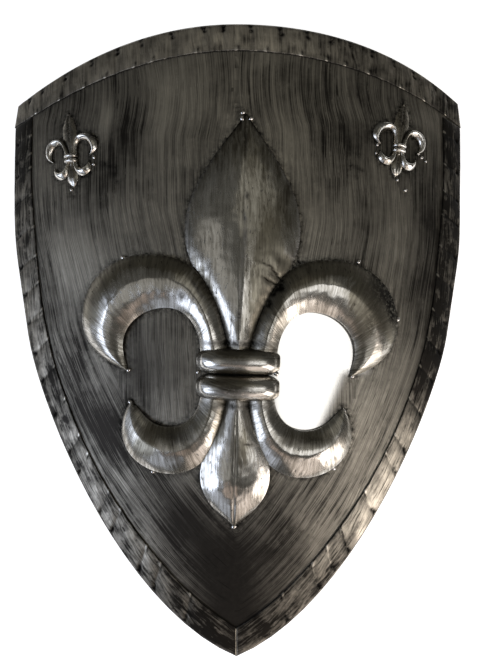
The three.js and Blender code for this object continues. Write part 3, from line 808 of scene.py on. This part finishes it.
def buildPlate():
    bm = bmesh.new()
    face = bm.faces.new([bm.verts.new(p) for p in wholeOutline])
    bmesh.ops.inset_region(bm, faces=[face], thickness=plate["inset"], use_even_offset=True)
    bmesh.ops.delete(bm, geom=[other for other in bm.faces if other is not face], context="FACES")
    for normal, (place, end) in ((Vector((1, 0, 0)), plate["cutsAcross"]),
                                 (Vector((0, 1, 0)), plate["cutsUp"])):
        while place < end:
            bmesh.ops.bisect_plane(bm, geom=everything(bm), plane_co=normal * place, plane_no=normal)
            place += plate["cell"]
    for vert in bm.verts:
        p = vert.co
        free = ease(26, 60, edgeDistance(p)) * ease(2, 25, fleurDistance(p)) * (1 - wornGlareAt(p))
        lift = plate["wave"] * noise.noise(Vector((p.x, p.y * 0.7, 3)) / plate["waveLength"])
        lift += plate["ripple"] * noise.noise(Vector((p.x, p.y, 9)) / plate["rippleLength"])
        vert.co.z = lift * free + smudge(p, plate["dents"]) * ease(26, 40, edgeDistance(p))
    if bm.faces[:][0].normal.z < 0:
        bmesh.ops.reverse_faces(bm, faces=bm.faces)

    def sootAndShadeShareOf(vert):    # painted shade in the corner beside the fleurs and beside the hems, over soot marks
        away, fromHem = fleurDistance(vert.co), abs(edgeDistance(vert.co) - plate["hemAt"])
        corner, width = plate["corner"]
        haze, hazeWidth = plate["haze"]
        hem, hemWidth = plate["hem"]
        beside = corner * math.exp(-(away / width) ** 2) + haze * math.exp(-away / hazeWidth)
        return min(1, beside + hem * math.exp(-fromHem / hemWidth) + smudge(vert.co, plate["sootAndShade"]))

    def wearOf(vert):
        patch = noise.noise(Vector((vert.co.x, vert.co.y * 0.45, 4)) / plate["patchLength"])
        return plate["patchy"] * patch + smudge(vert.co, plate["wear"])

    def scoreOf(vert):    # the brush dug deeper towards the tip
        return 0.6 * (1 - ease(200, 480, vert.co.y + 0.3 * abs(vert.co.x))) + 0.2

    writeLayers(bm, brushMap, {"sootAndShadeShare": sootAndShadeShareOf, "wear": wearOf, "score": scoreOf,
                               "dull": lambda vert: min(1, smudge(vert.co, plate["dull"])),
                               "mirrorGlare": lambda vert: wornGlareAt(vert.co)})
    rollUp(bm)
    return finishPiece("facePlate", bm, faceSteel, "face_plate", 35, plate["wall"], millScale())


buildPlate()


# Rim strips: a wide lap in front, a round fold over the edge and a narrow lap behind, hammered down every few
# centimetres; each blow leaves a sooty dent near the edge, painted shade trailing below it, a faint groove
# and a small lip at the inner line

rim = {
    "lap": 30.0, "backLap": 12.0, "front": 1.3, "back": -2.5, "metal": 1.0, "mitre": (0.2, 32), "cell": 1.5,
    "frontCells": 20, "foldCells": 8, "backCells": 3, "pillow": 0.9, "notch": 1.5, "unevenEdge": 0.5,
    "dentIn": 7.0, "dentSize": 2.9, "dentDepth": 0.9, "grooveDepth": 0.12, "grooveWidth": 2.0, "lip": 0.5,
    "ragged": 1.2, "crimpWidth": 3.4, "nickWidth": 2.6, "nickReach": 8.0,
    "shadeLength": 9.0,      # how far the painted shade trails from a blow
    # places of the blows and of the nicks along the inner line, across for the top strip and up for the sides
    "top": [-262, -238, -205, -170, -137, -106.7, -72.7, -39.2, -12.8, 14, 48, 80, 105, 129, 155, 188, 215,
            243, 264],
    "topNicks": [-245, -215, -180, -148.4, -114.2, -92.3, -46.5, 1.2, 35, 69.8, 104.3, 122.3, 153.3, 191.7,
                 228, 255],
    "right": [600, 560, 525, 494, 455, 414, 373, 331, 296, 258, 220, 190, 147, 115, 86, 61, 30],
    "left": [598, 575, 555, 518, 480, 443, 407, 370, 337, 301, 265, 225, 187, 157, 122, 94, 68, 34],
}


def hemProfile():
    radius = (rim["front"] - rim["back"]) / 2
    middle = (rim["front"] + rim["back"]) / 2
    points = []
    for k in range(rim["frontCells"]):
        points.append((mixed(rim["lap"], radius, k / rim["frontCells"]), rim["front"]))
    for k in range(rim["foldCells"] + 1):
        angle = math.pi / 2 + math.pi * k / rim["foldCells"]
        points.append((radius + radius * math.cos(angle), middle + radius * math.sin(angle)))
    for k in range(rim["backCells"]):
        points.append((mixed(radius, rim["backLap"], (k + 1) / rim["backCells"]), rim["back"]))
    return points


def runsAt(rail, values, axis):    # distances along the rail where it passes these values of x or y
    runs = []
    for value in values:
        best = min(range(len(rail.points)), key=lambda i: abs(rail.points[i][axis] - value))
        runs.append(rail.run[best])
    return sorted(runs)


def hammerBlows(places, bands, chance):    # no two alike
    return [{"at": at, "strength": chance.uniform(0.7, 1.0), "slant": chance.uniform(-0.1, 0.28),
             "size": rim["dentSize"] * chance.uniform(0.75, 1.25),
             "in": rim["dentIn"] * chance.uniform(0.75, 1.2),
             "across": chance.uniform(0.1, 1.1) * bands} for at in places]


def struck(here, inward, hits, ragged):    # soot and painted shade, notch in the edge and sink left by the blows
    sootAndShade = notch = sink = 0.0
    for hit in hits:
        away = here - hit["at"] - hit["slant"] * inward + ragged
        if abs(away) < rim["lap"]:
            spot = math.exp(-((away ** 2 + (inward - hit["in"]) ** 2) / hit["size"] ** 2) ** 1.6)
            edge = math.exp(-(away / rim["crimpWidth"]) ** 2) * (1 - ease(2, 11, inward))
            groove = math.exp(-(away / rim["grooveWidth"]) ** 2)
            trail = math.exp(-max(0, away) / rim["shadeLength"]) * ease(-1.0, 0.6, away)
            sootAndShade = max(sootAndShade, hit["strength"] * max(1.4 * spot, 1.2 * edge), 1.1 * hit["across"] * trail)
            notch = max(notch, edge * hit["strength"])
            sink = max(sink, rim["dentDepth"] * spot * hit["strength"], rim["grooveDepth"] * groove)
    return sootAndShade, notch, sink


def nicked(here, inward, nicks):    # painted shade, painted highlight and lip of the nicks along the inner line
    sootAndShade = shine = lip = 0.0
    for at in nicks:
        away = here - at
        if abs(away) < rim["nickReach"]:
            lip = max(lip, math.exp(-(away / rim["nickWidth"]) ** 2) * ease(24, 29, inward))
            shine = max(shine, math.exp(-(away / 1.5) ** 2) * ease(25, 27, inward))
            beside = (away - rim["nickWidth"]) / 1.8
            sootAndShade = max(sootAndShade, math.exp(-beside ** 2 - ((inward - 26) / 3.0) ** 2))
    return sootAndShade, shine, lip


def rimStrip(name, outer, inner, replaced, blows, nicks, mapOf, look):
    seed = look["seed"]
    chance = random.Random(seed)
    profile = hemProfile()
    hits = hammerBlows(blows, look["bands"], chance)
    tones = [chance.uniform(-0.3, 0.3) for hit in hits] + [0]     # each stretch between two blows has its own
    rows, columns = int(outer.length / rim["cell"]), len(profile) - 1
    bm = bmesh.new()
    bmesh.ops.create_grid(bm, x_segments=rows, y_segments=columns, size=0.5)
    marks = []
    for vert in bm.verts:
        share, column = vert.co.x + 0.5, math.floor((vert.co.y + 0.5) * columns + 0.5)
        inward, height = profile[column]
        here = share * outer.length
        passed = len([hit for hit in hits if hit["at"] <= here])
        before = hits[passed - 1]["at"] if passed else 0
        after = hits[passed]["at"] if passed < len(hits) else outer.length
        middle = max(0.0, math.sin(math.pi * (here - before) / max(after - before, 1)))
        ragged = rim["ragged"] * noise.noise(Vector((inward / 6, here / 30, seed)))
        sootAndShade, notch, sink = struck(here, inward, hits, ragged)
        nickShade, shine, lip = nicked(here, inward, nicks)
        sootAndShade = max(sootAndShade, nickShade)
        uneven = rim["unevenEdge"] * noise.noise(Vector((here / 14, 0, seed + 6)))
        reach = (inward + rim["notch"] * notch + uneven + 0.3) / rim["lap"]
        place = outer.at(share).lerp(inner.at(share), reach)
        if height > 1.2:
            height += rim["pillow"] * middle ** 0.5 * math.sin(math.pi * min(inward / rim["lap"], 1)) ** 0.7
            height += rim["lip"] * lip - min(sink, 0.8 * (height - 0.4))
            height += 0.15 * noise.noise(Vector((here / 12, inward / 9, seed)))
        vert.co = Vector((place.x, place.y, height))
        tone = mixed(tones[passed - 1], tones[passed], 0.5 * ease(-3, 3, here - before))
        marks.append((here, inward, sootAndShade if height > -1 else 0.3 * sootAndShade, shine, tone))
    bmesh.ops.recalc_face_normals(bm, faces=bm.faces)
    top = max(bm.faces, key=lambda face: face.calc_center_median().z)
    if top.normal.z < 0:
        bmesh.ops.reverse_faces(bm, faces=bm.faces)

    def polishOf(vert):    # bare metal and a painted highlight on the inner line, its nicks and the cut end at the tip
        here, inward, sootAndShade, shine, tone = marks[vert.index]
        line = look["edgeShine"] * math.exp(-abs(inward - rim["lap"]) / 0.9)
        return min(1, line + 1.3 * shine + (here > outer.length - 0.5))

    def sootAndShadeShareOf(vert):    # painted shade in the gap along the inner line but for the nicks, darker along the outer fold, over the blows' marks
        here, inward, sootAndShade, shine, tone = marks[vert.index]
        return min(1, sootAndShade + 0.35 * (1 - ease(0, 4, inward)) + ease(28.2, 29.6, inward) * (1 - shine))

    def wearOf(vert):
        here, inward, sootAndShade, shine, tone = marks[vert.index]
        return tone + 0.4 * noise.noise(Vector((here / 16, inward / 10, seed + 3))) + look["wear"](vert.co)

    writeLayers(bm, lambda vert, face: mapOf(vert, marks[vert.index]), {
        "polish": polishOf, "sootAndShadeShare": sootAndShadeShareOf, "wear": wearOf, "score": lambda vert: look["scored"]})
    rollUp(bm)
    return finishPiece(name, bm, rimSteel, replaced, 40, rim["metal"])


def sideRails(stops, side):
    path = smoothPath(stops[:-1])[::-1]     # from the top strip down to the tip
    path[0] = path[0] + Vector((0, -0.5, 0))
    path[-1] = Vector((rim["mitre"][0], 0.3, 0))
    inner = smoothPath([
        stop(259, 628, -90, 0, 0.36), stop(258, 520, -96), stop(218, 312, -112), stop(120, 143, -129),
        stop(*rim["mitre"], -148),
    ])
    return Rail(side(path)), Rail(side(inner))


def alongStrip(vert, mark):
    return mark[1], mark[0]


def upright(vert, mark):
    return vert.co.x, vert.co.y


# Looks: how dark the painted shade below the blows is, painted shine of the inner line, scratches, and where
# it is brighter
topLook = {
    "seed": 3, "bands": 0.25, "edgeShine": 0.05, "scored": 0.3,
    "wear": lambda p: 0.3 - 0.6 * ease(40, 160, p.x) - 0.5 * ease(170, 270, -p.x),
}
rightLook = {
    "seed": 5, "bands": 0.9, "edgeShine": 0.1, "scored": 0.7,
    "wear": lambda p: 0.9 * ease(40, 130, p.y) - 0.7 - 1.1 * ease(230, 330, p.y),
}
leftLook = {
    "seed": 8, "bands": 0.6, "edgeShine": 0.1, "scored": 0.6,
    "wear": lambda p: 0.45 * ease(30, 110, p.y) - 0.8 - 0.45 * ease(520, 600, p.y),
}
topRail = Rail(topEdge)
topInnerRail = Rail(smoothPath([
    stop(-outline["stripEnd"][0], outline["stripEnd"][1], 16, 0.3), stop(0, outline["crown"] - rim["lap"], 0),
    stop(*outline["stripEnd"], -24, 0.3),
], 40))
rimStrip("rimTop", topRail, topInnerRail, "rim_top", runsAt(topRail, rim["top"], 0),
         runsAt(topRail, rim["topNicks"], 0), upright, topLook)
for name, node, stops, side, blows, look in (
        ("rimRight", "rim_right", rightStops, lambda points: points, rim["right"], rightLook),
        ("rimLeft", "rim_left", leftStops, mirrored, rim["left"], leftLook)):
    rail, innerRail = sideRails(stops, side)
    runs = runsAt(rail, blows, 1)
    rimStrip(name, rail, innerRail, node, runs, runs, alongStrip, look)


# Weld beads that tack the stampings down

beads = {
    "size": 2.7, "seed": 4,
    "around": [(-181.9, 386.6), (-124.6, 321.1), (-43.4, 319.6), (44.7, 317.9), (192.1, 379.6), (133.9, 314),
               (-123.3, 233.3), (-95.6, 205.8), (110.8, 209.2), (-2.7, 146.5), (8.5, 283.7), (-122.1, 284.4),
               (122.9, 274), (6.3, 604.4), (16.4, 604.4), (7.4, 611.1), (-130.7, 450), (141.4, 445.7)],
    "smallSize": 2.0,
    "small": [(-168.5, 568.7), (-169.2, 560.6), (-199.2, 533.2), (165.5, 583.1), (164.2, 573.6),
              (226.1, 574.2), (232.7, 570.8), (192.1, 544.4), (221.7, 578.5), (203, 533)],
    "shape": (1.15, 0.9, 0.8), "lumps": 0.15,
}


def buildBeads():
    chance = random.Random(beads["seed"])
    bm = bmesh.new()
    for size, points in ((beads["size"], beads["around"]), (beads["smallSize"], beads["small"])):
        for x, y in points:
            radius = size * chance.uniform(0.75, 1.15)
            made = bmesh.ops.create_icosphere(bm, subdivisions=2, radius=radius)["verts"]
            turn = Matrix.Rotation(chance.uniform(0, math.pi), 3, "Z")
            for vert in made:
                p = turn @ (vert.co * Vector(beads["shape"]))
                p *= 1 + beads["lumps"] * noise.noise(p * 0.9 + Vector((x, y, 0)))
                vert.co = Vector((x, y, 0.5 * radius)) + p
    rollUp(bm)
    return finishPiece("weldBeads", bm, weldSteel(), None, 60)


buildBeads()


# Floor, lights and camera

studio = {
    "floorSize": 6.0, "floorDrop": 0.5, "cameraOut": 585, "cameraAcross": 15.3, "cameraUp": 363.04,
    "focal": 28.066, "sensor": 36, "sky": "#fbfaf0", "skyStrength": 0.09,
    "aim": (0, 0, 0.05), "distance": 1.6,      # of the lamps, in m
    # azimuth (0 to the right, 90 past the top edge), elevation, size in m, radiance, colour
    "lamps": {
        "rightWindow": (322, 19, (0.75, 1.15), 4.2, "#fff6f0"),
        "rightWall": (289, 22, (0.85, 1.1), 1.1, "#fff0e7"),
        "leftWindow": (205, 30, (0.85, 0.95), 3.4, "#dce8ff"),
        "leftWall": (240, 22, (1.0, 0.8), 0.6, "#e0eaff"),
        "low": (258, 48, (0.8, 0.35), 0.4, "#ffe6d8"),
        "side": (180, 20, (0.5, 0.9), 0.8, "#dce8ff"),
        "overhead": (60, 66, (1.1, 0.9), 0.2, "#fffae8"),
        "leftHigh": (195, 62, (1.2, 0.6), 0.3, "#f2f0ea"),
    },
    # mirrored in the worn patch: place over the sheet in mm, size in m, radiance, colour
    "glareAt": (470, 264, 800), "glare": ((0.56, 0.42), 1.35, "#ffffff"),
}


def buildFloor():
    bm = bmesh.new()
    bmesh.ops.create_grid(bm, x_segments=2, y_segments=2, size=studio["floorSize"] / 2)
    mesh = bpy.data.meshes.new("floor")
    bm.to_mesh(mesh)
    bm.free()
    floor = bpy.data.objects.new("floor", mesh)
    floor.location.z = -studio["floorDrop"] * mm
    mesh.materials.append(lightTable())
    bpy.context.scene.collection.objects.link(floor)


def hangLamp(name, size, radiance, colour):
    light = bpy.data.lights.new(name, "AREA")
    light.shape, light.size, light.size_y = "RECTANGLE", size[0], size[1]
    light.energy, light.color = radiance * math.pi * size[0] * size[1], linear(colour)[:3]
    lamp = bpy.data.objects.new(name, light)
    bpy.context.scene.collection.objects.link(lamp)
    return lamp


def roundAbout(azimuth, elevation):    # a direction from the middle of the floor
    turn, rise = math.radians(azimuth), math.radians(elevation)
    return Vector((math.cos(turn) * math.cos(rise), math.sin(turn) * math.cos(rise), math.sin(rise)))


def squareTo(across, up, out):    # looks straight at the face from this place over the sheet, in mm
    turned = Matrix((Vector((1, 0, 0)), upward, facing)).transposed()
    place = tipPoint + mm * (Vector((across, 0, 0)) + up * upward + out * facing)
    return Matrix.Translation(place) @ turned.to_4x4()


def buildLights():
    for name, (azimuth, elevation, size, radiance, colour) in studio["lamps"].items():
        lamp = hangLamp(name, size, radiance, colour)
        away = roundAbout(azimuth, elevation)
        lamp.location = Vector(studio["aim"]) + away * studio["distance"]
        lamp.rotation_euler = (-away).to_track_quat("-Z", "Y").to_euler()
    hangLamp("glare", *studio["glare"]).matrix_world = squareTo(*studio["glareAt"])


def buildCamera():
    camera = bpy.data.cameras.new("camera")
    camera.lens, camera.sensor_width, camera.clip_start = studio["focal"], studio["sensor"], 0.01
    viewer = bpy.data.objects.new("camera", camera)
    viewer.matrix_world = squareTo(studio["cameraAcross"], studio["cameraUp"], studio["cameraOut"])
    bpy.context.scene.collection.objects.link(viewer)
    bpy.context.scene.camera = viewer


buildFloor()
buildLights()
buildCamera()
world = bpy.data.worlds.new("studio")
world.use_nodes = True
world.node_tree.nodes["Background"].inputs["Color"].default_value = linear(studio["sky"])
world.node_tree.nodes["Background"].inputs["Strength"].default_value = studio["skyStrength"]
bpy.context.scene.world = world
bpy.context.scene.view_settings.view_transform = "Standard"
print("studio ready")
